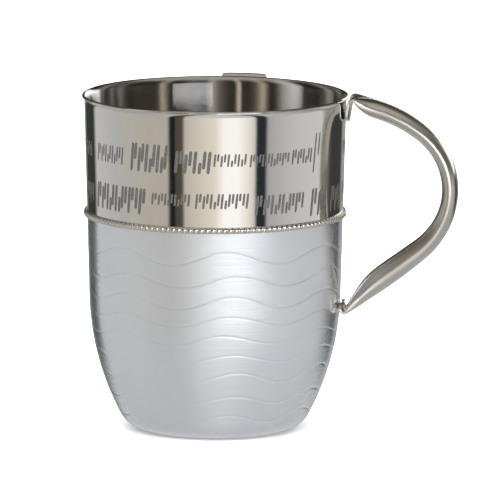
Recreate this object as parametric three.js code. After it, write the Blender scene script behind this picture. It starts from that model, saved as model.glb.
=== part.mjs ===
// A two-handled hand-washing cup, drawn from steel sheet. Millimetres, +Z up.
// The origin is the middle of the flat underside, and +X runs through the right-hand handle.
import * as THREE from 'three';

// Body, outside sizes
const CUP_HEIGHT = 130;
const RIM_RADIUS = 50.7; // just below the lip
const BELLY_RADIUS = 48.7; // where the straight taper ends
const BELLY_HEIGHT = 51.5;
const FLANK_BEND = 103; // long curve from the belly down to the base corner
const BASE_CORNER = 11; // curve between the flank and the underside
const WALL = 0.9;
const FLOOR = 1.2;
const LIP_HEIGHT = 2.6;
const LIP_FLARE = 1.3;

// Ring pressed into the underside
const FOOT_GROOVE_RADIUS = 24;
const FOOT_GROOVE_WIDTH = 4;
const FOOT_GROOVE_DEPTH = 0.5;

// Engraved waves round the lower body
const WAVES_ROUND = 7;
const CREST_ANGLE = -79; // degrees from +X to one crest
const TOP_CREST_HEIGHT = 75.5;
const LOW_CREST_HEIGHT = 10.6;
const WAVE_FALL = 4; // from crest to trough
const GROOVE_WIDTH = 0.9;
const GROOVE_DEPTH = 0.25;
// Each line's crest is lifted by a share of the even spacing, its fall is a share of WAVE_FALL, and the
// line is turned round the cup by some degrees
const WAVE_LINES = [
  { lift: 0, fall: 1.25, turn: -2 },
  { lift: -0.18, fall: 1, turn: 3 },
  { lift: -0.14, fall: 1.18, turn: 1 },
  { lift: -0.1, fall: 0.93, turn: 0 },
  { lift: -0.01, fall: 0.9, turn: -3 },
  { lift: 0.05, fall: 0.88, turn: 2 },
  { lift: 0.16, fall: 1.2, turn: 4 },
  { lift: -0.04, fall: 0.85, turn: 3 },
  { lift: 0, fall: 0.88, turn: 1 },
];

// Beaded ring below the polished band
const BAND_HEIGHT = 45.8; // from the rim down to the middle of the beads
const BEAD_DIAMETER = 2.3;
const BEAD_PITCH = 2.3;
const BEAD_STAND = 0.7; // how far the beads stand out from their strip
const BEAD_WAIST = 0.1; // share of that left between two beads
const BEAD_SHOULDER = 53; // degrees above and below level where a bead meets its strip
const RING_STRIP = 0.3; // the strip that carries them

// Handles: one tube, squeezed flat at both ends and folded into tabs on the wall. Bends are those of
// its outer face, and heights are counted down from the rim that it hangs at.
const TUBE_DIAMETER = 12.4; // before it is squeezed
const GRIP_DROP = 36; // to where the grip is furthest out
const HANDLE_REACH = 44.4; // from the wall to the outside of the grip
const UPPER_FOLD_DROP = 2.2; // to the upper fold's centre
const LOWER_FOLD_DROP = 82;
const UPPER_BEND = 0.88 * GRIP_DROP; // of the grip above its furthest point
const LOWER_BEND = 0.77 * (LOWER_FOLD_DROP - GRIP_DROP); // and below it
const UPPER_ARM_BOW = 13.3; // degrees by which an arm leaves its fold wide of the straight way to the grip
const LOWER_ARM_BOW = 5;
const UPPER_FOLD_BEND = 2.4;
const LOWER_FOLD_BEND = 2.3;
const UPPER_FOLD_CLEAR = 0.9; // room between the upper fold and the lip beside it, past the seat gap
const UPPER_TAB = 6.8; // length of each tab beyond its fold's centre
const LOWER_TAB = 2;
const UPPER_FLAT_THICK = 1.5; // two tube walls pressed together
const LOWER_FLAT_THICK = 1.8;
const UPPER_ARM_THICK = 7.2;
const GRIP_THICK = 6.4;
const LOWER_ARM_THICK = 9;
const UPPER_NOSE = 10; // run over which the tube swells from flat to full
const LOWER_NOSE = 20;
const UPPER_NOSE_POWER = 2.6; // higher is blunter
const LOWER_NOSE_POWER = 2.2;
const TAB_EASE = 10; // run over which a flat end straightens from the wall's curve
const HANDLE_SPREAD = 82; // degrees between the two handles
const REAR_LIFT = 0.9; // the rear handle hangs this much higher than the other

// Powers of the rounded sections: 2 is an ellipse, and higher ones are squarer
const OVAL_POWER = 2.1;
const STRIP_POWER = 5;
const TAB_TIP_SHARE = 0.8; // width left at the rounded end of a tab

const SEAT_GAP = 0.3; // between touching pieces

// How finely the curved surfaces are cut
const COLUMNS_PER_WAVE = 7;
const CUP_COLUMNS = COLUMNS_PER_WAVE * WAVES_ROUND;
const CORNER_STEPS = 3;
const FLANK_STEPS = 5;
const SECTION_SIDES = 10;
const FOLD_STEPS = 5;
const GRIP_STEPS = 8;
const ARM_SHARES = [0.02, 0.07, 0.16, 0.33, 0.65, 1]; // sections along an arm crowd towards its fold

const radians = THREE.MathUtils.degToRad;

// Wall profile
const lipStart = CUP_HEIGHT - LIP_HEIGHT;
const taper = (RIM_RADIUS - BELLY_RADIUS) / (lipStart - BELLY_HEIGHT);
const taperAngle = Math.atan(taper);
const flankCentre = {
  r: BELLY_RADIUS - FLANK_BEND * Math.cos(taperAngle),
  z: BELLY_HEIGHT + FLANK_BEND * Math.sin(taperAngle),
};

// The base corner's circle for a surface that lies `inset` inside the outer one, above a floor at `floor`
function cornerCircle(inset, floor) {
  const bend = BASE_CORNER - inset;
  const drop = flankCentre.z - floor - bend;
  const spread = FLANK_BEND - inset - bend;
  return {
    r: flankCentre.r + Math.sqrt(spread ** 2 - drop ** 2),
    z: floor + bend,
    bend,
    joinAngle: -Math.asin(drop / spread), // direction of the outward normal where it meets the flank
  };
}

function outerRadius(z) {
  if (z < BELLY_HEIGHT) {
    return flankCentre.r + Math.sqrt(FLANK_BEND ** 2 - (z - flankCentre.z) ** 2);
  }
  const flare = Math.max(0, (z - lipStart) / LIP_HEIGHT);
  return BELLY_RADIUS + taper * (z - BELLY_HEIGHT) + LIP_FLARE * flare ** 2;
}

// Direction of the outward normal at a height of the outer surface, as an angle above the horizontal
function normalAngle(z) {
  if (z < BELLY_HEIGHT) {
    return Math.asin((z - flankCentre.z) / FLANK_BEND);
  }
  const flare = Math.max(0, (z - lipStart) / LIP_HEIGHT);
  return -Math.atan(taper + (2 * LIP_FLARE * flare) / LIP_HEIGHT);
}

// A point of the wall at a height of the outer surface, moved in along the normal
function wallPoint(z, inset) {
  const angle = normalAngle(z);
  return { r: outerRadius(z) - inset * Math.cos(angle), z: z - inset * Math.sin(angle) };
}

function cornerPoints(inset, floor) {
  const circle = cornerCircle(inset, floor);
  const points = [];
  for (let step = 0; step <= CORNER_STEPS; step += 1) {
    const angle = THREE.MathUtils.lerp(-Math.PI / 2, circle.joinAngle, step / CORNER_STEPS);
    points.push({
      r: circle.r + circle.bend * Math.cos(angle),
      z: circle.z + circle.bend * Math.sin(angle),
    });
  }
  return points;
}

// A wave line's height at an angle round the cup
function waveHeight(line, index, angle) {
  const spacing = (TOP_CREST_HEIGHT - LOW_CREST_HEIGHT) / (WAVE_LINES.length - 1);
  const crest = TOP_CREST_HEIGHT - spacing * (index - line.lift);
  const phase = WAVES_ROUND * (angle - radians(CREST_ANGLE + line.turn));
  return crest - ((WAVE_FALL * line.fall) / 2) * (1 - Math.cos(phase));
}

// Rows of the cup's surface, from the middle of the underside up the outside, over the lip and down inside.
// Each row gives a radius and height for an angle round the axis.
function cupRows() {
  const rows = [];
  const plain = (point) => rows.push(() => point);

  const grooveIn = FOOT_GROOVE_RADIUS - FOOT_GROOVE_WIDTH / 2;
  const grooveOut = FOOT_GROOVE_RADIUS + FOOT_GROOVE_WIDTH / 2;
  plain({ r: grooveIn, z: 0 });
  plain({ r: grooveIn + FOOT_GROOVE_WIDTH / 4, z: FOOT_GROOVE_DEPTH });
  plain({ r: grooveOut - FOOT_GROOVE_WIDTH / 4, z: FOOT_GROOVE_DEPTH });
  plain({ r: grooveOut, z: 0 });
  cornerPoints(0, 0).forEach(plain);

  const edges = [
    { rise: -GROOVE_WIDTH / 2, depth: 0 },
    { rise: 0, depth: GROOVE_DEPTH },
    { rise: GROOVE_WIDTH / 2, depth: 0 },
  ];
  for (let index = WAVE_LINES.length - 1; index >= 0; index -= 1) {
    for (const edge of edges) {
      rows.push((angle) => {
        const height = waveHeight(WAVE_LINES[index], index, angle) + edge.rise;
        return wallPoint(height, edge.depth);
      });
    }
  }

  const rimCentreHeight = CUP_HEIGHT - WALL / 2;
  const lipHeights = [lipStart, lipStart + LIP_HEIGHT / 2];
  plain(wallPoint(CUP_HEIGHT - BAND_HEIGHT, 0));
  lipHeights.forEach((z) => plain(wallPoint(z, 0)));

  // The edge of the lip is a half round
  const rimAngle = normalAngle(rimCentreHeight);
  const rimCentre = wallPoint(rimCentreHeight, WALL / 2);
  rimCentre.z = rimCentreHeight;
  for (const turn of [0, Math.PI / 4 - rimAngle / 2, Math.PI / 2 - rimAngle, Math.PI]) {
    plain({
      r: rimCentre.r + (WALL / 2) * Math.cos(rimAngle + turn),
      z: rimCentre.z + (WALL / 2) * Math.sin(rimAngle + turn),
    });
  }

  lipHeights.reverse().forEach((z) => plain(wallPoint(z, WALL)));
  plain(wallPoint(BELLY_HEIGHT, WALL));
  const corner = cornerPoints(WALL, FLOOR);
  const cornerTop = corner[CORNER_STEPS];
  const innerBend = FLANK_BEND - WALL;
  for (let step = 1; step < FLANK_STEPS; step += 1) {
    const z = THREE.MathUtils.lerp(BELLY_HEIGHT, cornerTop.z, step / FLANK_STEPS);
    plain({ r: flankCentre.r + Math.sqrt(innerBend ** 2 - (z - flankCentre.z) ** 2), z });
  }
  corner.reverse().forEach(plain);
  return rows;
}

// A closed surface from rows of points round the Z axis, closed at both ends on the axis
function turnedGeometry(rows, columns, bottomZ, topZ) {
  const positions = [0, 0, bottomZ];
  const faces = [];
  const at = (row, column) => 1 + row * columns + (column % columns);
  rows.forEach((row) => {
    for (let column = 0; column < columns; column += 1) {
      const angle = (2 * Math.PI * column) / columns;
      const { r, z } = row(angle);
      positions.push(r * Math.cos(angle), r * Math.sin(angle), z);
    }
  });
  const last = positions.length / 3;
  positions.push(0, 0, topZ);
  for (let column = 0; column < columns; column += 1) {
    faces.push(0, at(0, column + 1), at(0, column));
    for (let row = 0; row + 1 < rows.length; row += 1) {
      faces.push(at(row, column), at(row, column + 1), at(row + 1, column + 1));
      faces.push(at(row, column), at(row + 1, column + 1), at(row + 1, column));
    }
    faces.push(at(rows.length - 1, column), at(rows.length - 1, column + 1), last);
  }
  return meshGeometry(positions, faces);
}

function meshGeometry(positions, faces) {
  const geometry = new THREE.BufferGeometry();
  geometry.setAttribute('position', new THREE.Float32BufferAttribute(positions, 3));
  geometry.setIndex(faces);
  geometry.computeVertexNormals();
  return geometry;
}

// A ring that closes on itself: a section of points for each column round the Z axis
function ringGeometry(columns, sectionAt) {
  const positions = [];
  const faces = [];
  const sides = sectionAt(0).length;
  for (let column = 0; column < columns; column += 1) {
    const angle = (2 * Math.PI * column) / columns;
    for (const { r, z } of sectionAt(column)) {
      positions.push(r * Math.cos(angle), r * Math.sin(angle), z);
    }
    const next = (column + 1) % columns;
    for (let side = 0; side < sides; side += 1) {
      const after = (side + 1) % sides;
      faces.push(column * sides + side, next * sides + side, next * sides + after);
      faces.push(column * sides + side, next * sides + after, column * sides + after);
    }
  }
  return meshGeometry(positions, faces);
}

// Beads on a thin strip: columns fall by turns on the middle of a bead and between two beads
function beadRingGeometry() {
  const middle = CUP_HEIGHT - BAND_HEIGHT;
  const half = BEAD_DIAMETER / 2;
  const seat = outerRadius(middle + half) + SEAT_GAP;
  const stripFace = seat + RING_STRIP;
  const count = Math.round((2 * Math.PI * (stripFace + BEAD_STAND)) / BEAD_PITCH);
  const sectionFor = (stand) => [
    { r: seat, z: middle - half },
    ...[-BEAD_SHOULDER, 0, BEAD_SHOULDER].map((degrees) => ({
      r: stripFace + stand * Math.cos(radians(degrees)),
      z: middle + half * Math.sin(radians(degrees)),
    })),
    { r: seat, z: middle + half },
  ];
  const bead = sectionFor(BEAD_STAND);
  const between = sectionFor(BEAD_STAND * BEAD_WAIST);
  return ringGeometry(2 * count, (column) => (column % 2 === 0 ? bead : between));
}

// In its own plane the handle's outer face runs clockwise through bends, each a circle with a centre and a
// radius. Directions are those of the normal out of that face, and this is the one along the straight way
// from one circle to another.
function sharedNormal(from, to) {
  const across = Math.hypot(to.x - from.x, to.z - from.z);
  const heading = Math.atan2(to.z - from.z, to.x - from.x);
  return heading + Math.acos((from.bend - to.bend) / across);
}

// The arm between `fold` and `grip` is one gentle bend. It takes over from the fold where the normal has
// the direction `leave`, and runs into the grip where the normal has the direction `meet`.
function armCircle(fold, grip, leave) {
  const outward = new THREE.Vector2(Math.cos(leave), Math.sin(leave));
  const start = new THREE.Vector2(fold.x, fold.z).addScaledVector(outward, fold.bend);
  const apart = new THREE.Vector2(start.x - grip.x, start.y - grip.z);
  const bend = (apart.lengthSq() - grip.bend ** 2) / (2 * (apart.dot(outward) - grip.bend));
  const centre = start.addScaledVector(outward, -bend);
  const meet = Math.atan2(grip.z - centre.y, grip.x - centre.x);
  return { x: centre.x, z: centre.y, bend, meet };
}

function foldCircle(top, drop, bend, clear) {
  const z = top - drop;
  return { x: outerRadius(z) + SEAT_GAP + clear + bend, z, bend };
}

// A tab runs straight from its fold to a point on the wall. Gives that point and the normal along the tab.
function tabEnd(fold, rise) {
  const z = fold.z + rise;
  const x = outerRadius(z) + SEAT_GAP;
  const sweep = Math.acos(fold.bend / Math.hypot(x - fold.x, rise));
  const heading = Math.atan2(Math.abs(rise), x - fold.x);
  return { x, z, normal: -Math.sign(rise) * (2 * Math.PI - heading - sweep) };
}

// Stations along the handle's outer face, from the end of the upper tab round to the end of the lower one
function handleStations(lift) {
  const top = CUP_HEIGHT + lift;
  const upperFold = foldCircle(top, UPPER_FOLD_DROP, UPPER_FOLD_BEND, UPPER_FOLD_CLEAR);
  const lowerFold = foldCircle(top, LOWER_FOLD_DROP, LOWER_FOLD_BEND, 0);
  const gripHeight = top - GRIP_DROP;
  const furthest = outerRadius(gripHeight) + HANDLE_REACH;
  const upperGrip = { x: furthest - UPPER_BEND, z: gripHeight, bend: UPPER_BEND };
  const lowerGrip = { x: furthest - LOWER_BEND, z: gripHeight, bend: LOWER_BEND };
  const upperLeave = sharedNormal(upperFold, upperGrip) + radians(UPPER_ARM_BOW);
  const lowerLeave = sharedNormal(lowerGrip, lowerFold) - radians(LOWER_ARM_BOW);
  const upperArm = armCircle(upperFold, upperGrip, upperLeave);
  const lowerArm = armCircle(lowerFold, lowerGrip, lowerLeave);
  const upperTab = tabEnd(upperFold, -UPPER_TAB);
  const lowerTab = tabEnd(lowerFold, LOWER_TAB);

  const stations = [];
  const add = (circle, normal, part) => {
    const x = circle.x + circle.bend * Math.cos(normal);
    const z = circle.z + circle.bend * Math.sin(normal);
    stations.push({ x, z, normal, part });
  };
  const bend = (circle, start, end, shares, part) => {
    shares.forEach((share) => add(circle, THREE.MathUtils.lerp(start, end, share), part));
  };
  const evenShares = (steps) => Array.from({ length: steps + 1 }, (_, step) => step / steps);
  const foldShares = evenShares(FOLD_STEPS);
  const gripShares = evenShares(GRIP_STEPS);
  const towardsFold = ARM_SHARES.map((share) => 1 - share).reverse();
  stations.push({ ...upperTab, part: 'upper flat', tip: true });
  bend(upperFold, upperTab.normal, upperLeave, foldShares, 'upper flat');
  bend(upperArm, upperLeave, upperArm.meet, ARM_SHARES, 'upper');
  bend(upperGrip, upperArm.meet, 0, gripShares.slice(1, GRIP_STEPS), 'upper');
  bend(lowerGrip, 0, lowerArm.meet, gripShares, 'lower');
  bend(lowerArm, lowerArm.meet, lowerLeave, towardsFold.slice(1), 'lower');
  bend(lowerFold, lowerLeave, lowerTab.normal, foldShares, 'lower flat');
  stations.push({ ...lowerTab, part: 'lower flat', tip: true });
  return stations;
}

// Works out each station's thickness and how far it follows the wall's curve
function sizedStations(lift) {
  const stations = handleStations(lift);
  let run = 0;
  stations.forEach((station, index) => {
    const before = stations[Math.max(0, index - 1)];
    run += Math.hypot(station.x - before.x, station.z - before.z);
    station.run = run;
  });
  const swellStart = stations.findLast((station) => station.part === 'upper flat').run;
  const swellEnd = stations.find((station) => station.part === 'lower flat').run;
  const gripRun = stations.find((station) => station.part === 'lower').run;
  for (const station of stations) {
    const upper = station.part.startsWith('upper');
    const fromFlat = Math.max(0, upper ? station.run - swellStart : swellEnd - station.run);
    const armRun = upper ? gripRun - swellStart : swellEnd - gripRun;
    const nose = upper ? UPPER_NOSE : LOWER_NOSE;
    const flat = upper ? UPPER_FLAT_THICK : LOWER_FLAT_THICK;
    const toGrip = THREE.MathUtils.smoothstep(fromFlat, nose, armRun);
    const full = THREE.MathUtils.lerp(upper ? UPPER_ARM_THICK : LOWER_ARM_THICK, GRIP_THICK, toGrip);
    const left = 1 - Math.min(1, fromFlat / nose);
    station.thick = flat + (full - flat) * (1 - left ** (upper ? UPPER_NOSE_POWER : LOWER_NOSE_POWER));
    station.follow = 1 - THREE.MathUtils.smoothstep(fromFlat, 0, TAB_EASE);
    station.flatness = 1 - THREE.MathUtils.smoothstep(station.thick, flat, UPPER_ARM_THICK);
  }
  return stations;
}

// The tube's section at a station. Its girth stays that of the round tube it is squeezed from, and its
// sides turn from an oval to a strip with round edges as it gets flatter.
function handleSection(station) {
  const halfThick = station.thick / 2;
  const halfWide = Math.sqrt(TUBE_DIAMETER ** 2 / 2 - halfThick ** 2) * (station.tip ? TAB_TIP_SHARE : 1);
  const power = 2 / THREE.MathUtils.lerp(OVAL_POWER, STRIP_POWER, station.flatness);
  const points = [];
  for (let side = 0; side < SECTION_SIDES; side += 1) {
    const angle = (2 * Math.PI * (side + 0.5)) / SECTION_SIDES;
    const wide = Math.sign(Math.cos(angle)) * Math.abs(Math.cos(angle)) ** power * halfWide;
    const deep = halfThick - Math.sign(Math.sin(angle)) * Math.abs(Math.sin(angle)) ** power * halfThick;
    const x = station.x - deep * Math.cos(station.normal);
    const z = station.z - deep * Math.sin(station.normal);
    const curved = Math.sqrt(x ** 2 - wide ** 2);
    points.push(new THREE.Vector3(THREE.MathUtils.lerp(x, curved, station.follow), wide, z));
  }
  return points;
}

function handleGeometry(lift) {
  const sections = sizedStations(lift).map(handleSection);
  const positions = sections.flat().flatMap((point) => point.toArray());
  const faces = [];
  const last = sections.length - 1;
  for (let side = 0; side < SECTION_SIDES; side += 1) {
    const after = (side + 1) % SECTION_SIDES;
    for (let row = 0; row < last; row += 1) {
      const here = row * SECTION_SIDES;
      const next = here + SECTION_SIDES;
      faces.push(here + side, next + after, next + side);
      faces.push(here + side, here + after, next + after);
    }
  }
  for (let side = 1; side + 1 < SECTION_SIDES; side += 1) {
    faces.push(0, side + 1, side);
    const end = last * SECTION_SIDES;
    faces.push(end, end + side, end + side + 1);
  }
  return meshGeometry(positions, faces);
}

const polishedSteel = { color: 0xc9c5bf, metalness: 1, roughness: 0.12 };
const lacqueredSteel = { color: 0xb9bfc6, metalness: 0.8, roughness: 0.35 };
const satinSteel = { color: 0xb5b0a7, metalness: 1, roughness: 0.28 };

function namedMesh(name, geometry, finish) {
  const mesh = new THREE.Mesh(geometry, new THREE.MeshStandardMaterial(finish));
  mesh.name = name;
  return mesh;
}

const washingCup = new THREE.Group();
washingCup.add(namedMesh('cup', turnedGeometry(cupRows(), CUP_COLUMNS, 0, FLOOR), lacqueredSteel));
washingCup.add(namedMesh('bead_ring', beadRingGeometry(), polishedSteel));
washingCup.add(namedMesh('handle_right', handleGeometry(0), satinSteel));
const rearHandle = namedMesh('handle_rear', handleGeometry(REAR_LIFT), satinSteel);
rearHandle.rotation.z = radians(HANDLE_SPREAD);
washingCup.add(rearHandle);

export default washingCup;
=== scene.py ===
import math

import bmesh
import bpy
import numpy as np
from mathutils import Matrix, Vector
from mathutils.geometry import delaunay_2d_cdt


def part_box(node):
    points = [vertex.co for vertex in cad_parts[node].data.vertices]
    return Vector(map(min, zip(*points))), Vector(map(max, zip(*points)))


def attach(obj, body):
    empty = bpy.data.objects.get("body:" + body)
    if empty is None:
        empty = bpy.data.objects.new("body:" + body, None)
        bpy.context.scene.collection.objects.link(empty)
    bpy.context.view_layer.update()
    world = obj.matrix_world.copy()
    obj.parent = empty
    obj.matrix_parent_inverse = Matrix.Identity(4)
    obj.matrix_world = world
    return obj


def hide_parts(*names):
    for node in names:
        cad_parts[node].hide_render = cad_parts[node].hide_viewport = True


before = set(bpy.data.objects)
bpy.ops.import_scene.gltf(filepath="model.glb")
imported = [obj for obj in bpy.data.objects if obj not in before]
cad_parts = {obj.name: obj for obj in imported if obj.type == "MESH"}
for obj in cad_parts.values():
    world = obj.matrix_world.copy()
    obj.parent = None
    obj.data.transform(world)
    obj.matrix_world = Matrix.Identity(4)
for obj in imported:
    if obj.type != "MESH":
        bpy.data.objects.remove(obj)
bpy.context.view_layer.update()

# Sizes are in millimetres, as the part's drawing has them, and angles in degrees
MM = 0.001

# Body of the cup. The origin is the middle of the underside, and +X runs through the right-hand handle.
CUP_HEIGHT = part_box("cup")[1].z / MM
RIM_RADIUS = 50.7
BELLY_RADIUS = 48.7
BELLY_HEIGHT = 51.5
FLANK_BEND = 103
BASE_CORNER = 11
WALL = 0.9
FLOOR = 1.2
LIP_HEIGHT = 2.6
LIP_FLARE = 1.3
LIP_POWER = 3

FOOT_GROOVE_RADIUS = 24
FOOT_GROOVE_WIDTH = 4
FOOT_GROOVE_DEPTH = 0.5
FOOT_GROOVE_MARGIN = 0.5

# Engraved waves
WAVES_ROUND = 7
CREST_ANGLE = -79
TOP_CREST_HEIGHT = 75.5
LOW_CREST_HEIGHT = 10.6
WAVE_FALL = 4
GROOVE_WIDTH = 1.2
GROOVE_DEPTH = 0.13
# Each line's crest lift as a share of the spacing, its fall as a share of WAVE_FALL, and its turn
WAVE_LINES = [
    (0, 1.25, -2),
    (-0.18, 1, 3),
    (-0.14, 1.18, 1),
    (-0.1, 0.93, 0),
    (-0.01, 0.9, -3),
    (0.05, 0.88, 2),
    (0.16, 1.2, 4),
    (-0.04, 0.85, 3),
    (0, 0.88, 1),
]

# Beaded ring
BAND_HEIGHT = 45.8
BEAD_DIAMETER = 2.3
BEAD_PITCH = 2.3
BEAD_STAND = 0.7
RING_STRIP = 0.3
RING_BEVEL = 0.1
SEAT_GAP = 0.3
# Between two beads the wire keeps these shares of a bead's height and stand. A bead's face turns by BEAD_TURN
# to either side of the middle, and a power under 1 makes it blunter.
BEAD_WAIST = 0.62
BEAD_VALLEY = 0.12
BEAD_TURN = 80
BEAD_POWER = 0.8

# Handles
TUBE_DIAMETER = 12.4
GRIP_DROP = 36
HANDLE_REACH = 44.4
UPPER_FOLD_DROP = 2.2
LOWER_FOLD_DROP = 82
UPPER_BEND = 0.88 * GRIP_DROP
LOWER_BEND = 0.77 * (LOWER_FOLD_DROP - GRIP_DROP)
UPPER_ARM_BOW = 13.3
LOWER_ARM_BOW = 5
UPPER_FOLD_BEND = 2.4
LOWER_FOLD_BEND = 2.3
UPPER_FOLD_CLEAR = 0.9
UPPER_TAB = 6.8
LOWER_TAB = 2
UPPER_FLAT_THICK = 1.5
LOWER_FLAT_THICK = 1.8
UPPER_ARM_THICK = 7.2
GRIP_THICK = 6.4
LOWER_ARM_THICK = 9
UPPER_NOSE = 10
LOWER_NOSE = 20
UPPER_NOSE_POWER = 2.6
LOWER_NOSE_POWER = 2.2
TAB_EASE = 10
HANDLE_SPREAD = 82
REAR_LIFT = 0.9
OVAL_POWER = 2.1
STRIP_POWER = 5
TIP_ROUND = 2.2
TIP_POWER = 2.5
TIP_NARROWING = 0.45

# Fineness of the visible meshes
COLUMNS_PER_WAVE = 42
COLUMNS = COLUMNS_PER_WAVE * WAVES_ROUND
GROOVE_SHARES = (-1, -0.66, -0.33, 0, 0.33, 0.66, 1)
BETWEEN_SHARES = (0.08, 0.3, 0.5, 0.7, 0.92)
LIP_ROWS = 7
EDGE_ROWS = 9
PATCH_ROWS = 10
BEAD_COLUMNS = 10
SECTION_SIDES = 40

# Etched strokes on the band, in two rows. Each group: first and last angle, lowest and highest point,
# number of strokes, width of a stroke. The groups fill half the cup and come twice round it. The lengths
# are shares of a group's height, taken in turn, and every third stroke stands at the foot of its row.
STROKE_GROUPS = [
    (-149, -131, 107.5, 114.5, 12, 0.9),
    (-125, -108, 105.8, 117, 10, 1.3),
    (-103, -88.5, 106.2, 115, 8, 1.3),
    (-86, -72.5, 109, 114, 10, 0.8),
    (-70, -52, 108.6, 113.6, 14, 0.8),
    (-49.5, -39, 108.6, 114.4, 8, 0.9),
    (-36.4, -33.6, 104.2, 120, 2, 0.9),
    (-8, 23, 108, 114, 22, 0.9),
    (-150, -119, 89, 99.5, 16, 1.4),
    (-114.5, -97.5, 93.4, 98.2, 12, 0.9),
    (-94, -71.5, 92.6, 98.6, 15, 0.9),
    (-67, -43.5, 89.8, 97.6, 14, 1.1),
    (-37.5, -28, 87.4, 98.4, 5, 1.4),
    (-22, -13, 87.6, 97.6, 5, 1.3),
    (-7, 24, 89.5, 98, 17, 1.2),
]
GROUP_ROUNDS = 2
STROKE_SLANT = 0.1
STROKE_DEPTH = 0.1
STROKE_BEVEL = 0.1
STROKE_LENGTHS = (1, 0.58, 0.86, 0.66, 1, 0.5, 0.8)
STROKE_END = 0.35
STROKE_SIDE = 0.6
STROKE_POINTS = 12
PATCH_LOW = 86.2
PATCH_HIGH = 121.6
SEAM_ANGLE = 25

# Camera, fitted to the photograph: its angles, distance, pixels per millimetre at the cup's axis, the point
# that it looks at (height on the axis, and shift to the right of it) and its roll
VIEW_AZIMUTH = 4
VIEW_ELEVATION = 8.85
VIEW_DISTANCE = 4000
VIEW_SCALE = 2.5825
VIEW_HEIGHT = 69.19
VIEW_SHIFT = 13.54
VIEW_ROLL = -0.17
PHOTO_WIDTH = 500
SENSOR_WIDTH = 36


# The cup's profile

lip_start = CUP_HEIGHT - LIP_HEIGHT
taper = (RIM_RADIUS - BELLY_RADIUS) / (lip_start - BELLY_HEIGHT)
taper_angle = math.atan(taper)
flank_r = BELLY_RADIUS - FLANK_BEND * math.cos(taper_angle)
flank_z = BELLY_HEIGHT + FLANK_BEND * math.sin(taper_angle)


def outer_radius(z):
    z = np.asarray(z, float)
    below = flank_r + np.sqrt(FLANK_BEND**2 - (np.minimum(z, BELLY_HEIGHT) - flank_z) ** 2)
    flare = np.clip((z - lip_start) / LIP_HEIGHT, 0, None)
    above = BELLY_RADIUS + taper * (z - BELLY_HEIGHT) + LIP_FLARE * flare**LIP_POWER
    return np.where(z < BELLY_HEIGHT, below, above)


def normal_angle(z):
    """Direction of the outward normal, in radians above the horizontal."""
    z = np.asarray(z, float)
    below = np.arcsin((np.minimum(z, BELLY_HEIGHT) - flank_z) / FLANK_BEND)
    flare = np.clip((z - lip_start) / LIP_HEIGHT, 0, None)
    above = -np.arctan(taper + LIP_POWER * LIP_FLARE * flare ** (LIP_POWER - 1) / LIP_HEIGHT)
    return np.where(z < BELLY_HEIGHT, below, above)


def wall_point(z, inset):
    angle = normal_angle(z)
    return outer_radius(z) - inset * np.cos(angle), z - inset * np.sin(angle)


def corner_arc(inset, floor, steps):
    """The base corner of a surface that lies inset from the outer one, as (radius, height), upwards."""
    bend = BASE_CORNER - inset
    drop = flank_z - floor - bend
    spread = FLANK_BEND - inset - bend
    centre = flank_r + math.sqrt(spread**2 - drop**2)
    angles = np.linspace(-math.pi / 2, -math.asin(drop / spread), steps + 1)
    return [(centre + bend * math.cos(a), floor + bend + bend * math.sin(a)) for a in angles]


def wave_height(index, angles):
    lift, fall, turn = WAVE_LINES[index]
    spacing = (TOP_CREST_HEIGHT - LOW_CREST_HEIGHT) / (len(WAVE_LINES) - 1)
    crest = TOP_CREST_HEIGHT - spacing * (index - lift)
    phase = WAVES_ROUND * (angles - math.radians(CREST_ANGLE + turn))
    return crest - WAVE_FALL * fall / 2 * (1 - np.cos(phase))


# Meshes from rows of points

def new_piece(name, bm, materials, node):
    """Makes the mesh an object that rides on the body, with the given materials, and hides the CAD part of
    its node.
    """
    bmesh.ops.transform(bm, matrix=Matrix.Scale(MM, 4), verts=bm.verts)
    mesh = bpy.data.meshes.new(name)
    bm.to_mesh(mesh)
    bm.free()
    for material in materials:
        mesh.materials.append(material)
    mesh.shade_smooth()
    piece = bpy.data.objects.new(name, mesh)
    bpy.context.scene.collection.objects.link(piece)
    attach(piece, "root")
    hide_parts(node)
    return piece


def ring_of_points(bm, angles, radius, height):
    radius = np.broadcast_to(radius, angles.shape)
    height = np.broadcast_to(height, angles.shape)
    return [bm.verts.new((r * math.cos(a), r * math.sin(a), z)) for a, r, z in zip(angles, radius, height)]


def join_rings(bm, low, high, material):
    for i in range(len(low)):
        j = (i + 1) % len(low)
        bm.faces.new((low[i], low[j], high[j], high[i])).material_index = material


def close_ring(bm, ring, z, up, material):
    middle = bm.verts.new((0, 0, z))
    for i in range(len(ring)):
        j = (i + 1) % len(ring)
        pair = (ring[i], ring[j]) if up else (ring[j], ring[i])
        bm.faces.new((*pair, middle)).material_index = material


# The cup: turned rows from the underside to the band, the band's patch with its strokes, and turned rows
# over the lip and down the inside

POLISHED, LACQUER, ETCHED, INSIDE = 0, 1, 2, 3
PLAIN, SURFACE, STROKE_WALL = 0, 1, 2


def underside_rows():
    groove_in = FOOT_GROOVE_RADIUS - FOOT_GROOVE_WIDTH / 2
    rows = [(groove_in / 2, 0), (groove_in - FOOT_GROOVE_MARGIN, 0)]
    for share in np.linspace(0, 1, 9):
        depth = FOOT_GROOVE_DEPTH * math.sin(math.pi * share) ** 2
        rows.append((groove_in + FOOT_GROOVE_WIDTH * share, depth))
    rows.append((groove_in + FOOT_GROOVE_WIDTH + FOOT_GROOVE_MARGIN, 0))
    return rows + corner_arc(0, 0, 10)


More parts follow.
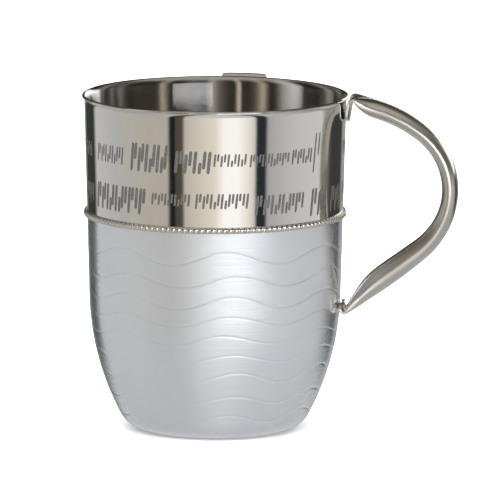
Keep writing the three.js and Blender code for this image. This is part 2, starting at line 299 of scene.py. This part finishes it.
def wave_rows(angles):
    """Rows of the lower wall as (radius, height), from the lowest line up to the band."""
    rows = []
    edge = GROOVE_WIDTH / 2
    for index in range(len(WAVE_LINES) - 1, -1, -1):
        line = wave_height(index, angles)
        for share in GROOVE_SHARES:
            depth = GROOVE_DEPTH * math.cos(math.pi / 2 * share) ** 2
            rows.append(wall_point(line + share * edge, depth))
        top = line + edge
        above = wave_height(index - 1, angles) - edge if index else np.full(angles.shape, PATCH_LOW)
        for share in BETWEEN_SHARES:
            rows.append(wall_point(top + (above - top) * share, 0))
    return rows


def lip_rows():
    """Rows from the top of the band over the half-round lip and down the inside to the floor."""
    heights = np.linspace(lip_start, CUP_HEIGHT - WALL / 2, LIP_ROWS)
    rows = [wall_point(z, 0) for z in heights]
    tilt = float(normal_angle(heights[-1]))
    centre = float(wall_point(heights[-1], WALL / 2)[0])
    for turn in np.linspace(0, math.pi, EDGE_ROWS)[1:-1]:
        height = heights[-1] + WALL / 2 * math.sin(tilt + turn)
        rows.append((centre + WALL / 2 * math.cos(tilt + turn), height))
    rows += [wall_point(z, WALL) for z in heights[::-1]]
    rows += [wall_point(z, WALL) for z in np.linspace(lip_start, BELLY_HEIGHT, 16)[1:]]
    corner = corner_arc(WALL, FLOOR, 8)
    bend = FLANK_BEND - WALL
    for z in np.linspace(BELLY_HEIGHT, corner[-1][1], 14)[1:-1]:
        rows.append((flank_r + math.sqrt(bend**2 - (z - flank_z) ** 2), z))
    return rows + corner[::-1] + [(corner[0][0] / 2, FLOOR)]


def stroke_outlines():
    """The strokes as (outline, inner outline), in millimetres round the band and up."""
    strokes = []
    for turn in range(GROUP_ROUNDS):
        for first, last, low, high, count, width in STROKE_GROUPS:
            for index in range(count):
                start = math.radians(first) + 2 * math.pi * turn / GROUP_ROUNDS
                step = math.radians(last - first) / (count - 1)
                length = (high - low) * STROKE_LENGTHS[index % len(STROKE_LENGTHS)]
                middle = low + length / 2 if index % 3 == 2 else high - length / 2
                centre = ((start + step * index) * BELLY_RADIUS, middle)
                strokes.append([stroke_outline(centre, length, width, inset) for inset in (0, STROKE_BEVEL)])
    return strokes


def stroke_outline(centre, length, width, inset):
    """A bar with rounded corners that leans a little to the right."""
    points = []
    for t in np.linspace(0, 2 * math.pi, STROKE_POINTS, endpoint=False):
        up = (length / 2 - inset) * math.copysign(abs(math.cos(t)) ** STROKE_END, math.cos(t))
        across = (width / 2 - inset) * math.copysign(abs(math.sin(t)) ** STROKE_SIDE, math.sin(t))
        points.append((centre[0] + across + STROKE_SLANT * up, centre[1] + up))
    return points


def band_patch(bm, kind, angles):
    """The band between PATCH_LOW and PATCH_HIGH, unrolled, cut along the strokes and rolled up again."""
    start = angles[0]
    points = []
    faces = []
    for z in np.linspace(PATCH_LOW, PATCH_HIGH, PATCH_ROWS + 1):
        points += [(a * BELLY_RADIUS, z) for a in (*angles, start + 2 * math.pi)]
    full = 2 * math.pi * BELLY_RADIUS
    for outline, inner in stroke_outlines():
        shift = full * math.ceil((start * BELLY_RADIUS - outline[0][0]) / full)
        for loop in (outline, inner):
            faces.append(list(range(len(points) + len(loop) - 1, len(points) - 1, -1)))
            points += [(u + shift, v) for u, v in loop]
    flat = delaunay_2d_cdt([Vector(p) for p in points], [], faces, 0, 1e-5)
    spots, triangles, owners = flat[0], flat[2], flat[5]
    in_floor = set()
    for triangle, owner in zip(triangles, owners):
        if any(face % 2 for face in owner):
            in_floor.update(triangle)
    verts = []
    for i, (u, v) in enumerate(spots):
        r, z = wall_point(v, STROKE_DEPTH if i in in_floor else 0)
        angle = u / BELLY_RADIUS
        verts.append(bm.verts.new((r * math.cos(angle), r * math.sin(angle), z)))
    for triangle, owner in zip(triangles, owners):
        face = bm.faces.new([verts[i] for i in triangle])
        face.material_index = ETCHED if owner else POLISHED
        face[kind] = STROKE_WALL if owner and not any(o % 2 for o in owner) else SURFACE


def make_cup(materials):
    bm = bmesh.new()
    kind = bm.faces.layers.int.new("kind")
    angles = math.radians(SEAM_ANGLE) + np.linspace(0, 2 * math.pi, COLUMNS, endpoint=False)
    ring = None
    for r, z in underside_rows():
        new_ring = ring_of_points(bm, angles, r, z)
        if ring is None:
            close_ring(bm, new_ring, z, False, LACQUER)
        else:
            join_rings(bm, ring, new_ring, LACQUER)
        ring = new_ring
    for r, z in wave_rows(angles):
        new_ring = ring_of_points(bm, angles, r, z)
        join_rings(bm, ring, new_ring, LACQUER)
        ring = new_ring
    low = ring_of_points(bm, angles, *wall_point(PATCH_LOW, 0))
    join_rings(bm, ring, low, POLISHED)
    band_patch(bm, kind, angles)
    ring = ring_of_points(bm, angles, *wall_point(PATCH_HIGH, 0))
    first_inside = LIP_ROWS + EDGE_ROWS - 1
    for index, (r, z) in enumerate(lip_rows()):
        new_ring = ring_of_points(bm, angles, r, z)
        join_rings(bm, ring, new_ring, INSIDE if index >= first_inside else POLISHED)
        ring = new_ring
    close_ring(bm, ring, FLOOR, True, INSIDE)
    bmesh.ops.remove_doubles(bm, verts=bm.verts, dist=1e-3)
    piece = new_piece("cup_body", bm, materials, "cup")
    smooth_band(piece.data)


def smooth_band(mesh):
    """Gives the band the true normals of the turned wall, and the strokes' sides flat ones."""
    kinds = np.zeros(len(mesh.polygons), np.int32)
    mesh.attributes["kind"].data.foreach_get("value", kinds)
    normals = np.zeros((len(mesh.loops), 3))
    for face, kind in zip(mesh.polygons, kinds):
        if kind == PLAIN:
            continue
        for loop in face.loop_indices:
            if kind == STROKE_WALL:
                normals[loop] = face.normal
                continue
            x, y, z = mesh.vertices[mesh.loops[loop].vertex_index].co / MM
            tilt = float(normal_angle(z))
            across = math.cos(tilt) / math.hypot(x, y)
            normals[loop] = (x * across, y * across, math.sin(tilt))
    mesh.normals_split_custom_set([tuple(n) for n in normals])
    mesh.attributes.remove(mesh.attributes["kind"])


# The beaded ring: a wire of beads on a thin strip round the wall

def make_ring(material):
    middle = CUP_HEIGHT - BAND_HEIGHT
    half = BEAD_DIAMETER / 2
    seat = float(outer_radius(middle + half)) + SEAT_GAP
    face_r = seat + RING_STRIP
    count = round(2 * math.pi * (face_r + BEAD_STAND) / BEAD_PITCH)
    bm = bmesh.new()
    sections = []
    for column in range(count * BEAD_COLUMNS):
        angle = 2 * math.pi * column / (count * BEAD_COLUMNS)
        along = 2 * (column % BEAD_COLUMNS) / BEAD_COLUMNS - 1
        swell = math.sqrt(max(0, 1 - along**2))
        points = [(seat, middle - half), (face_r - RING_BEVEL, middle - half)]
        for turn in np.linspace(-1, 1, 9):
            tilt = math.radians(BEAD_TURN) * turn
            high = half * (BEAD_WAIST + (1 - BEAD_WAIST) * swell)
            stand = BEAD_STAND * (BEAD_VALLEY + (1 - BEAD_VALLEY) * swell)
            points.append((face_r + stand * math.cos(tilt) ** BEAD_POWER, middle + high * math.sin(tilt)))
        points += [(face_r - RING_BEVEL, middle + half), (seat, middle + half)]
        sections.append([bm.verts.new((r * math.cos(angle), r * math.sin(angle), z)) for r, z in points])
    for here, there in zip(sections, sections[1:] + sections[:1]):
        for i in range(len(here)):
            j = (i + 1) % len(here)
            bm.faces.new((here[i], there[i], there[j], here[j]))
    new_piece("beaded_ring", bm, [material], "bead_ring")


# The handles: one tube whose outer face runs along clockwise bends, squeezed flat at both ends

def shared_normal(start, end):
    across = math.hypot(end[0] - start[0], end[1] - start[1])
    heading = math.atan2(end[1] - start[1], end[0] - start[0])
    return heading + math.acos((start[2] - end[2]) / across)


def arm_circle(fold, grip, leave):
    """The circle that takes over from the fold at one normal and runs into the grip, and the normal there."""
    outward = Vector((math.cos(leave), math.sin(leave)))
    start = Vector(fold[:2]) + outward * fold[2]
    apart = start - Vector(grip[:2])
    bend = (apart.length_squared - grip[2] ** 2) / (2 * (apart.dot(outward) - grip[2]))
    centre = start - outward * bend
    return (*centre, bend), math.atan2(grip[1] - centre.y, grip[0] - centre.x)


def fold_circle(top, drop, bend, clear):
    z = top - drop
    return (float(outer_radius(z)) + SEAT_GAP + clear + bend, z, bend)


def tab_end(fold, rise):
    z = fold[1] + rise
    x = float(outer_radius(z)) + SEAT_GAP
    sweep = math.acos(fold[2] / math.hypot(x - fold[0], rise))
    heading = math.atan2(abs(rise), x - fold[0])
    return (x, z, -math.copysign(1, rise) * (2 * math.pi - heading - sweep))


def handle_path(lift):
    """Points of the outer face as (x, z, normal, is upper, is flat)."""
    top = CUP_HEIGHT + lift
    upper_fold = fold_circle(top, UPPER_FOLD_DROP, UPPER_FOLD_BEND, UPPER_FOLD_CLEAR)
    lower_fold = fold_circle(top, LOWER_FOLD_DROP, LOWER_FOLD_BEND, 0)
    grip_height = top - GRIP_DROP
    furthest = float(outer_radius(grip_height)) + HANDLE_REACH
    upper_grip = (furthest - UPPER_BEND, grip_height, UPPER_BEND)
    lower_grip = (furthest - LOWER_BEND, grip_height, LOWER_BEND)
    upper_leave = shared_normal(upper_fold, upper_grip) + math.radians(UPPER_ARM_BOW)
    lower_leave = shared_normal(lower_grip, lower_fold) - math.radians(LOWER_ARM_BOW)
    upper_arm, upper_meet = arm_circle(upper_fold, upper_grip, upper_leave)
    lower_arm, lower_meet = arm_circle(lower_fold, lower_grip, lower_leave)
    upper_tab = tab_end(upper_fold, -UPPER_TAB)
    lower_tab = tab_end(lower_fold, LOWER_TAB)
    path = []

    def at(circle, normal):
        return (circle[0] + circle[2] * math.cos(normal), circle[1] + circle[2] * math.sin(normal))

    def bend(circle, start, end, count, upper, flat=False):
        for share in np.linspace(0, 1, count, endpoint=False):
            normal = start + (end - start) * share
            path.append((*at(circle, normal), normal, upper, flat))

    def straight(start, end, normal, count, upper, flat=False):
        a = np.array((*start, normal))
        b = np.array((*end, normal))
        for share in np.linspace(0, 1, count, endpoint=False):
            x, z, turn = a + (b - a) * share
            path.append((x, z, turn, upper, flat))

    straight(upper_tab[:2], at(upper_fold, upper_tab[2]), upper_tab[2], 14, True, True)
    bend(upper_fold, upper_tab[2], upper_leave, 26, True, True)
    bend(upper_arm, upper_leave, upper_meet, 40, True)
    bend(upper_grip, upper_meet, 0, 32, True)
    bend(lower_grip, 0, lower_meet, 34, False)
    bend(lower_arm, lower_meet, lower_leave, 44, False)
    bend(lower_fold, lower_leave, lower_tab[2], 26, False, True)
    straight(at(lower_fold, lower_tab[2]), lower_tab[:2], lower_tab[2], 8, False, True)
    path.append((*lower_tab, False, True))
    return path


def smoothstep(value, low, high):
    share = min(1, max(0, (value - low) / (high - low)))
    return share * share * (3 - 2 * share)


def handle_sections(lift):
    path = handle_path(lift)
    runs = [0]
    for before, here in zip(path, path[1:]):
        runs.append(runs[-1] + math.dist(before[:2], here[:2]))
    swell_start = max(run for run, step in zip(runs, path) if step[3] and step[4])
    swell_end = min(run for run, step in zip(runs, path) if not step[3] and step[4])
    grip_run = min(run for run, step in zip(runs, path) if not step[3])
    sections = []
    for run, (x, z, normal, upper, _) in zip(runs, path):
        from_flat = max(0, run - swell_start if upper else swell_end - run)
        arm_run = grip_run - swell_start if upper else swell_end - grip_run
        nose = UPPER_NOSE if upper else LOWER_NOSE
        flat = UPPER_FLAT_THICK if upper else LOWER_FLAT_THICK
        arm = UPPER_ARM_THICK if upper else LOWER_ARM_THICK
        power = UPPER_NOSE_POWER if upper else LOWER_NOSE_POWER
        full = arm + (GRIP_THICK - arm) * smoothstep(from_flat, nose, arm_run)
        left = 1 - min(1, from_flat / nose)
        thick = flat + (full - flat) * (1 - left**power)
        follow = 1 - smoothstep(from_flat, 0, TAB_EASE)
        flatness = 1 - smoothstep(thick, flat, UPPER_ARM_THICK)
        from_tip = min(run, runs[-1] - run)
        tip = 1 - max(0, 1 - from_tip / TIP_ROUND) ** TIP_POWER * TIP_NARROWING
        half_thick = thick / 2
        half_wide = math.sqrt(TUBE_DIAMETER**2 / 2 - half_thick**2) * tip
        power = 2 / (OVAL_POWER + (STRIP_POWER - OVAL_POWER) * flatness)
        section = []
        for side in range(SECTION_SIDES):
            angle = 2 * math.pi * side / SECTION_SIDES
            wide = math.copysign(abs(math.cos(angle)) ** power, math.cos(angle)) * half_wide
            deep = half_thick * (1 - math.copysign(abs(math.sin(angle)) ** power, math.sin(angle)))
            px = x - deep * math.cos(normal)
            pz = z - deep * math.sin(normal)
            curved = math.sqrt(px**2 - wide**2)
            section.append((px + (curved - px) * follow, wide, pz))
        sections.append(section)
    return sections, runs


def make_handle(name, node, lift, turn, material):
    sections, runs = handle_sections(lift)
    bm = bmesh.new()
    layer = bm.loops.layers.uv.new("along")
    rings = [[bm.verts.new(point) for point in section] for section in sections]
    for row in range(len(rings) - 1):
        for i in range(SECTION_SIDES):
            j = (i + 1) % SECTION_SIDES
            face = bm.faces.new((rings[row][i], rings[row + 1][i], rings[row + 1][j], rings[row][j]))
            spots = ((row, i), (row + 1, i), (row + 1, i + 1), (row, i + 1))
            for loop, (step, side) in zip(face.loops, spots):
                loop[layer].uv = (runs[step] / 10, side / SECTION_SIDES)
    bm.faces.new(rings[0])
    bm.faces.new(rings[-1][::-1])
    bmesh.ops.recalc_face_normals(bm, faces=bm.faces)
    bmesh.ops.rotate(bm, verts=bm.verts, matrix=Matrix.Rotation(math.radians(turn), 3, "Z"))
    new_piece(name, bm, [material], node)


# Materials

class Nodes:
    """A material's node tree with its Principled shader, and short calls to add nodes and link them."""

    def __init__(self, name, metallic):
        self.material = bpy.data.materials.new(name)
        self.material.use_nodes = True
        self.tree = self.material.node_tree
        self.shader = self.tree.nodes["Principled BSDF"]
        self.shader.inputs["Metallic"].default_value = metallic

    def add(self, kind, **values):
        node = self.tree.nodes.new(kind)
        for name, value in values.items():
            setattr(node, name, value)
        return node

    def link(self, start, end):
        self.tree.links.new(start, end)

    def place(self, scale, source="Object"):
        """Coordinates stretched by scale."""
        coordinates = self.add("ShaderNodeTexCoord")
        mapping = self.add("ShaderNodeMapping")
        mapping.inputs["Scale"].default_value = scale
        self.link(coordinates.outputs[source], mapping.inputs["Vector"])
        return mapping.outputs["Vector"]

    def noise(self, vector, scale, detail):
        node = self.add("ShaderNodeTexNoise")
        node.inputs["Scale"].default_value = scale
        node.inputs["Detail"].default_value = detail
        self.link(vector, node.inputs["Vector"])
        return node.outputs["Fac"]

    def spread(self, value, low, high, start=0.3, end=0.7):
        """Maps a noise value between start and end to a range of numbers."""
        node = self.add("ShaderNodeMapRange")
        node.inputs["From Min"].default_value = start
        node.inputs["From Max"].default_value = end
        node.inputs["To Min"].default_value = low
        node.inputs["To Max"].default_value = high
        self.link(value, node.inputs["Value"])
        return node.outputs["Result"]

    def tint(self, value, first, second):
        """Base colour between two colours, by a noise value."""
        ramp = self.add("ShaderNodeValToRGB")
        ramp.color_ramp.elements[0].position = 0.3
        ramp.color_ramp.elements[0].color = (*first, 1)
        ramp.color_ramp.elements[1].position = 0.7
        ramp.color_ramp.elements[1].color = (*second, 1)
        self.link(value, ramp.inputs["Fac"])
        self.link(ramp.outputs["Color"], self.shader.inputs["Base Color"])

    def roughen(self, value, low, high):
        self.link(self.spread(value, low, high), self.shader.inputs["Roughness"])

    def roughen_less_aside(self, value, low, high, facing, share):
        """As roughen, but down to a share of that where the surface turns away from the eye."""
        weight = self.add("ShaderNodeLayerWeight")
        product = self.add("ShaderNodeMath", operation="MULTIPLY")
        self.link(self.spread(value, low, high), product.inputs[0])
        self.link(self.spread(weight.outputs["Facing"], 1, share, *facing), product.inputs[1])
        self.link(product.outputs["Value"], self.shader.inputs["Roughness"])

    def bump(self, value, strength, distance):
        node = self.add("ShaderNodeBump")
        node.inputs["Strength"].default_value = strength
        node.inputs["Distance"].default_value = distance
        self.link(value, node.inputs["Height"])
        self.link(node.outputs["Normal"], self.shader.inputs["Normal"])

    def comb(self, least, most):
        """Tips the normals up at random, as the fine steps that turning leaves round the axis do."""
        geometry = self.add("ShaderNodeNewGeometry")
        grain = self.add("ShaderNodeTexWhiteNoise")
        upright = self.add("ShaderNodeCombineXYZ")
        tipped = self.add("ShaderNodeVectorMath", operation="ADD")
        evened = self.add("ShaderNodeVectorMath", operation="NORMALIZE")
        self.link(geometry.outputs["Position"], grain.inputs["Vector"])
        self.link(self.spread(grain.outputs["Value"], least, most, 0, 1), upright.inputs["Z"])
        self.link(geometry.outputs["Normal"], tipped.inputs[0])
        self.link(upright.outputs["Vector"], tipped.inputs[1])
        self.link(tipped.outputs["Vector"], evened.inputs[0])
        self.link(evened.outputs["Vector"], self.shader.inputs["Normal"])


def polished_steel():
    """Mirror-bright sheet with the faint unevenness of a buffed wall."""
    nodes = Nodes("polished_steel", 1)
    wide = nodes.noise(nodes.place((1, 1, 0.6)), 60, 2)
    fine = nodes.noise(nodes.place((1, 1, 3)), 900, 4)
    nodes.tint(wide, (0.79, 0.77, 0.735), (0.83, 0.815, 0.78))
    nodes.roughen(fine, 0.045, 0.085)
    nodes.bump(wide, 0.25, 0.0002)
    return nodes.material


def inside_steel():
    """The inside, turned and brushed round its axis, so that what it reflects is drawn out up and down."""
    nodes = Nodes("inside_steel", 1)
    wide = nodes.noise(nodes.place((1, 1, 0.6)), 60, 2)
    turned = nodes.noise(nodes.place((0.5, 0.5, 60)), 30, 4)
    # Base colour darker and browner than the outer steel's: painted shade of the cup's hollow, with the
    # steel's own random tone between the two colours
    nodes.tint(wide, (0.55, 0.535, 0.51), (0.59, 0.575, 0.55))
    nodes.roughen(turned, 0.06, 0.1)
    nodes.comb(0.08, 0.45)
    return nodes.material


def blue_lacquer():
    """Pale blue-grey lacquer over the metal, semi-gloss, with a fine brushed grain under it."""
    nodes = Nodes("blue_grey_lacquer", 0.96)
    wide = nodes.noise(nodes.place((1, 1, 1)), 45, 3)
    fine = nodes.noise(nodes.place((0.15, 0.15, 2.5)), 500, 4)
    nodes.tint(wide, (0.89, 0.925, 0.97), (0.925, 0.955, 0.99))
    nodes.roughen_less_aside(fine, 0.46, 0.54, (0.42, 0.72), 0.32)
    nodes.bump(fine, 0.4, 0.0002)
    return nodes.material


def etched_grey():
    """Matt floor of the etched strokes."""
    nodes = Nodes("etched_grey", 0.4)
    grain = nodes.noise(nodes.place((1, 1, 1)), 1500, 4)
    nodes.tint(grain, (0.065, 0.062, 0.058), (0.115, 0.111, 0.105))
    nodes.roughen(grain, 0.5, 0.7)
    nodes.bump(grain, 0.3, 0.0001)
    return nodes.material


def bead_steel():
    """Bright cast beads with a fine random tone."""
    nodes = Nodes("bead_steel", 1)
    fine = nodes.noise(nodes.place((1, 1, 1)), 700, 3)
    nodes.tint(fine, (0.74, 0.71, 0.66), (0.86, 0.84, 0.79))
    nodes.roughen(fine, 0.1, 0.2)
    return nodes.material


def satin_steel():
    """Tube with a fine brushed grain along it."""
    nodes = Nodes("satin_steel", 1)
    brushed = nodes.noise(nodes.place((0.1, 30, 1), "UV"), 3, 3)
    wide = nodes.noise(nodes.place((1, 1, 1)), 70, 3)
    nodes.tint(wide, (0.72, 0.69, 0.645), (0.78, 0.75, 0.705))
    nodes.roughen_less_aside(brushed, 0.3, 0.42, (0.35, 0.7), 0.5)
    return nodes.material


def floor_white():
    nodes = Nodes("floor_white", 0)
    nodes.shader.inputs["Base Color"].default_value = (0.93, 0.93, 0.93, 1)
    nodes.shader.inputs["Roughness"].default_value = 0.7
    return nodes.material


# The room that the steel reflects, within the world's own shader. Each list has azimuths, counted from the
# camera to the right, with brightness and tint: boards with dark gaps between them stand round the cup, above
# them is the dim room with its lamps under a lit ceiling, and below them is the table.

GREY = (1, 1, 1)
WARM = (1.05, 0.97, 0.86)
BROWN = (1.12, 0.98, 0.76)
BLUE = (0.8, 1.0, 1.22)
GREEN = (0.9, 1.06, 0.95)
BOARDS = [
    (-180, 0.5, GREY),
    (-168, 0.35, GREEN),
    (-159, 0.05, GREEN),
    (-137, 0.04, GREEN),
    (-131, 0.6, GREY),
    (-100, 0.52, GREY),
    (-60, 0.5, WARM),
    (-43, 0.5, WARM),
    (-40.5, 0.012, BLUE),
    (-36.5, 0.015, BLUE),
    (-35, 0.08, BROWN),
    (-29, 0.08, BROWN),
    (-27, 0.56, WARM),
    (-15, 0.68, WARM),
    (0, 0.85, WARM),
    (8, 1.15, GREY),
    (21, 1.15, GREY),
    (31, 0.9, WARM),
    (35.5, 0.7, GREY),
    (37.5, 0.03, BLUE),
    (45.5, 0.03, BLUE),
    (48, 0.46, GREY),
    (75, 0.6, GREY),
    (95, 0.66, GREY),
    (109, 0.68, GREY),
    (117, 0.2, BROWN),
    (126, 0.05, GREY),
    (149, 0.05, GREEN),
    (156, 0.35, GREY),
    (180, 0.4, GREY),
]
TABLE = [
    (-180, 0.58, GREY),
    (-140, 0.48, GREY),
    (-100, 0.42, GREY),
    (-60, 0.46, GREY),
    (-43, 0.52, GREY),
    (-40.5, 0.06, GREY),
    (-29, 0.08, GREY),
    (-27, 0.57, GREY),
    (5, 0.67, GREY),
    (35.5, 0.63, GREY),
    (37.5, 0.05, GREY),
    (45.5, 0.05, GREY),
    (48, 0.54, GREY),
    (100, 0.42, GREY),
    (140, 0.48, GREY),
    (180, 0.58, GREY),
]
ROOM = [
    (-180, 0.04, BROWN),
    (-157, 0.05, BROWN),
    (-151, 0.22, WARM),
    (-145, 0.22, WARM),
    (-137, 0.024, BROWN),
    (-131, 0.26, WARM),
    (-123, 0.38, WARM),
    (-116, 0.048, BROWN),
    (-108, 0.02, BROWN),
    (-93, 0.04, GREY),
    (-87, 0.048, GREY),
    (-85.5, 0.8, GREY),
    (-75.5, 0.8, GREY),
    (-65, 0.4, WARM),
    (-60, 0.064, WARM),
    (-57, 0.02, BROWN),
    (-51.5, 0.028, BROWN),
    (-48.5, 0.22, WARM),
    (-45.5, 0.8, BROWN),
    (-41.5, 0.18, BROWN),
    (-34, 0.05, BROWN),
    (-25, 0.03, BROWN),
    (-23.3, 0.036, BROWN),
    (-22.1, 1.9, WARM),
    (-20.6, 0.036, BROWN),
    (-16, 0.028, BROWN),
    (-11, 0.06, BROWN),
    (-4.5, 0.15, WARM),
    (-1, 0.28, WARM),
    (3, 0.5, WARM),
    (6, 0.4, WARM),
    (9, 0.1, BLUE),
    (16, 0.1, BLUE),
    (20, 0.14, BLUE),
    (25, 0.16, GREY),
    (29, 0.06, GREY),
    (37, 0.02, GREY),
    (47, 0.04, GREY),
    (50.5, 0.85, BROWN),
    (54, 0.07, BROWN),
    (61, 0.04, BROWN),
    (67, 0.035, BROWN),
    (75, 0.05, BROWN),
    (84, 0.03, BROWN),
    (94, 0.04, BROWN),
    (98.5, 0.38, WARM),
    (102, 0.03, BROWN),
    (106, 0.03, BROWN),
    (109.5, 0.34, WARM),
    (114, 0.02, BROWN),
    (119, 0.03, GREY),
    (125, 0.3, GREY),
    (131, 0.3, GREY),
    (140, 0.05, BROWN),
    (180, 0.04, BROWN),
]
CEILING = [
    (-180, 0.42, WARM),
    (-60, 0.5, WARM),
    (0, 0.6, GREY),
    (60, 0.55, WARM),
    (180, 0.42, WARM),
]
# Degrees above the horizon between which one list gives way to the next
TABLE_FADE = (-27, -13)
ROOM_FADE = (1, 7)
CEILING_FADE = (46, 60)
RAMP_STOPS = 28

# Each light's azimuth from the camera to the right, elevation, distance, width and height in metres, power in
# watts, and whether the steel mirrors it
LIGHTS = {
    "top_light": (0, 80, 1.5, (1.6, 1.6), 60, False),
    "window_light": (21, 6, 1.6, (1.05, 0.26), 5, True),
    "door_light": (152, 10, 1.6, (1.2, 0.5), 3, True),
    "side_light_0": (45, 30, 1.7, (1.4, 1.4), 19, False),
    "side_light_1": (135, 30, 1.7, (1.4, 1.4), 19, False),
    "side_light_2": (225, 30, 1.7, (1.4, 1.4), 19, False),
    "side_light_3": (315, 30, 1.7, (1.4, 1.4), 19, False),
}

# Metres from the middle of the white floor to its edges
STAGE_REACH = 5


class Room:
    """The world's node tree, with short calls for its ramps and blends."""

    def __init__(self):
        world = bpy.data.worlds.new("studio")
        bpy.context.scene.world = world
        world.use_nodes = True
        self.tree = world.node_tree
        self.direction = self.tree.nodes.new("ShaderNodeTexCoord").outputs["Generated"]

    def link(self, start, end):
        self.tree.links.new(start, end)

    def around(self, stops):
        """Colour by azimuth from the camera. One ramp has room for a part of the stops only, so there are
        several, each black outside its own part, and their colours are added up."""
        turned = self.tree.nodes.new("ShaderNodeMapping")
        turned.inputs["Rotation"].default_value[2] = math.radians(90 - VIEW_AZIMUTH)
        radial = self.tree.nodes.new("ShaderNodeTexGradient")
        radial.gradient_type = "RADIAL"
        self.link(self.direction, turned.inputs["Vector"])
        self.link(turned.outputs["Vector"], radial.inputs["Vector"])
        total = None
        for first in range(0, len(stops) - 1, RAMP_STOPS):
            shown = stops[first : first + RAMP_STOPS + 1]
            part = [(a, [value * share for share in tint]) for a, value, tint in shown]
            if first > 0:
                part.insert(0, (part[0][0], (0, 0, 0)))
            if first + RAMP_STOPS + 1 < len(stops):
                part.append((part[-1][0], (0, 0, 0)))
            ramp = self.ramp(part)
            self.link(radial.outputs["Fac"], ramp.inputs["Fac"])
            total = ramp.outputs["Color"] if total is None else self.add(total, ramp.outputs["Color"])
        return total

    def ramp(self, stops):
        node = self.tree.nodes.new("ShaderNodeValToRGB")
        elements = node.color_ramp.elements
        while len(elements) < len(stops):
            elements.new(0.5)
        for element, (azimuth, color) in zip(elements, stops):
            element.position = azimuth / 360 + 0.5
            element.color = (*color, 1)
        return node

    def add(self, one, other):
        mix = self.tree.nodes.new("ShaderNodeMix")
        mix.data_type = "RGBA"
        mix.blend_type = "ADD"
        mix.inputs["Factor"].default_value = 1
        self.link(one, mix.inputs["A"])
        self.link(other, mix.inputs["B"])
        return mix.outputs["Result"]

    def rising(self, fade):
        """Goes from 0 to 1 between two heights, in degrees above the horizon."""
        split = self.tree.nodes.new("ShaderNodeSeparateXYZ")
        share = self.tree.nodes.new("ShaderNodeMapRange")
        share.interpolation_type = "SMOOTHSTEP"
        share.inputs["From Min"].default_value = math.sin(math.radians(fade[0]))
        share.inputs["From Max"].default_value = math.sin(math.radians(fade[1]))
        self.link(self.direction, split.inputs["Vector"])
        self.link(split.outputs["Z"], share.inputs["Value"])
        return share.outputs["Result"]

    def blend(self, share, low, high):
        mix = self.tree.nodes.new("ShaderNodeMix")
        mix.data_type = "RGBA"
        self.link(share, mix.inputs["Factor"])
        self.link(low, mix.inputs["A"])
        self.link(high, mix.inputs["B"])
        return mix.outputs["Result"]


def make_world():
    room = Room()
    boards = room.blend(room.rising(TABLE_FADE), room.around(TABLE), room.around(BOARDS))
    walls = room.blend(room.rising(ROOM_FADE), boards, room.around(ROOM))
    everything = room.blend(room.rising(CEILING_FADE), walls, room.around(CEILING))
    room.link(everything, room.tree.nodes["Background"].inputs["Color"])


def add_light(name, azimuth, elevation, distance, size, power, glossy):
    """A soft light that faces the cup. Its azimuth is counted from the camera, to the right."""
    data = bpy.data.lights.new(name, "AREA")
    data.shape = "RECTANGLE"
    data.size, data.size_y = size
    data.energy = power
    light = bpy.data.objects.new(name, data)
    a = math.radians(VIEW_AZIMUTH - 90 + azimuth)
    e = math.radians(elevation)
    away = Vector((math.cos(a) * math.cos(e), math.sin(a) * math.cos(e), math.sin(e)))
    light.location = away * distance + Vector((0, 0, CUP_HEIGHT / 2 * MM))
    light.rotation_euler = away.to_track_quat("Z", "Y").to_euler()
    light.visible_camera = False
    light.visible_glossy = glossy
    bpy.context.scene.collection.objects.link(light)


def make_floor():
    bm = bmesh.new()
    bmesh.ops.create_grid(bm, x_segments=1, y_segments=1, size=STAGE_REACH)
    mesh = bpy.data.meshes.new("floor")
    bm.to_mesh(mesh)
    bm.free()
    mesh.materials.append(floor_white())
    floor = bpy.data.objects.new("floor", mesh)
    floor.visible_glossy = False
    bpy.context.scene.collection.objects.link(floor)


def make_camera():
    azimuth = math.radians(VIEW_AZIMUTH)
    elevation = math.radians(VIEW_ELEVATION)
    roll = math.radians(VIEW_ROLL)
    level = math.cos(elevation)
    back = Vector((math.sin(azimuth) * level, -math.cos(azimuth) * level, math.sin(elevation)))
    right = Vector((math.cos(azimuth), math.sin(azimuth), 0))
    up = back.cross(right)
    rolled_right = right * math.cos(roll) - up * math.sin(roll)
    rolled_up = right * math.sin(roll) + up * math.cos(roll)
    place = (Vector((0, 0, VIEW_HEIGHT)) + right * VIEW_SHIFT + back * VIEW_DISTANCE) * MM
    data = bpy.data.cameras.new("camera")
    data.sensor_width = SENSOR_WIDTH
    data.lens = VIEW_SCALE * VIEW_DISTANCE / PHOTO_WIDTH * SENSOR_WIDTH
    data.clip_end = 100
    camera = bpy.data.objects.new("camera", data)
    turned = Matrix((rolled_right, rolled_up, back)).transposed().to_4x4()
    camera.matrix_world = Matrix.Translation(place) @ turned
    bpy.context.scene.collection.objects.link(camera)
    bpy.context.scene.camera = camera


make_camera()
make_world()
make_floor()
for light_name, light_values in LIGHTS.items():
    add_light(light_name, *light_values)
bpy.context.scene.view_settings.view_transform = "Standard"

make_cup([polished_steel(), blue_lacquer(), etched_grey(), inside_steel()])
make_ring(bead_steel())
satin = satin_steel()
make_handle("right_handle", "handle_right", 0, 0, satin)
make_handle("back_handle", "handle_rear", REAR_LIFT, HANDLE_SPREAD, satin)
